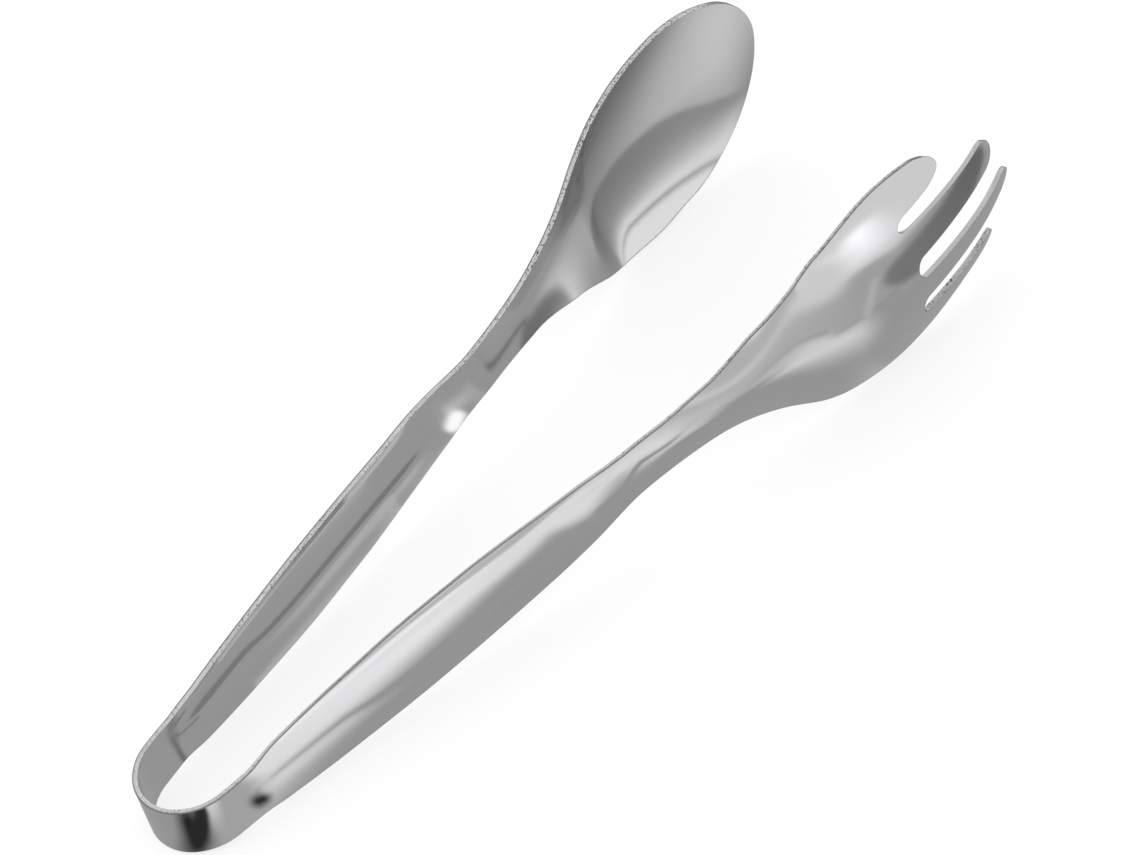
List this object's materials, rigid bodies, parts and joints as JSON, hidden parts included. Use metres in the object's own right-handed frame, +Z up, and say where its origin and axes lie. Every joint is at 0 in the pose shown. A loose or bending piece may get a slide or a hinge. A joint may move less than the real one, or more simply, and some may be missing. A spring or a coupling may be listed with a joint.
{
  "type": "kitchen tongs",
  "caption": "Serving tongs bent from a strip of polished stainless steel: a sprung bow, pressed handles, a spoon on one arm and a slotted fork on the other.",
  "frame": {"origin": "on the table, under the middle of the tongs' bounding box, with the tongs lying on their edges", "axes": "+X from the bow to the tips, +Y towards the spoon arm, +Z up from the table"},
  "size_m": [0.2558, 0.087, 0.0569],
  "materials": {
    "polished_steel": "polished stainless steel with faint lengthwise polishing lines and plain sheared edges"
  },
  "bodies": {
    "bow": {"bow_crown": "polished_steel"},
    "spoon_arm": {"spoon_bow_leg": "polished_steel", "spoon_handle": "polished_steel", "spoon_neck": "polished_steel", "spoon_bowl": "polished_steel"},
    "fork_arm": {"fork_bow_leg": "polished_steel", "fork_handle": "polished_steel", "fork_neck": "polished_steel", "fork_palm": "polished_steel", "fork_tine_lower_outer": "polished_steel", "fork_tine_lower_inner": "polished_steel", "fork_tine_upper_inner": "polished_steel", "fork_tine_upper_outer": "polished_steel"}
  },
  "joints": [
    {"name": "spoon_squeeze", "type": "hinge", "parent": "bow", "child": "spoon_arm", "pos_m": [-0.12122, 0.00891, 0.00804], "axis": [0.0978, 0, -0.9952], "range_deg": [0, 8.7], "stiffness_Nm_per_rad": 3},
    {"name": "fork_squeeze", "type": "hinge", "parent": "bow", "child": "fork_arm", "pos_m": [-0.12122, -0.00887, 0.00804], "axis": [-0.0978, 0, 0.9952], "range_deg": [0, 8.7], "stiffness_Nm_per_rad": 3}
  ],
  "couplings": [
    {"joint": "fork_squeeze", "follows": "spoon_squeeze", "ratio": 1}
  ]
}
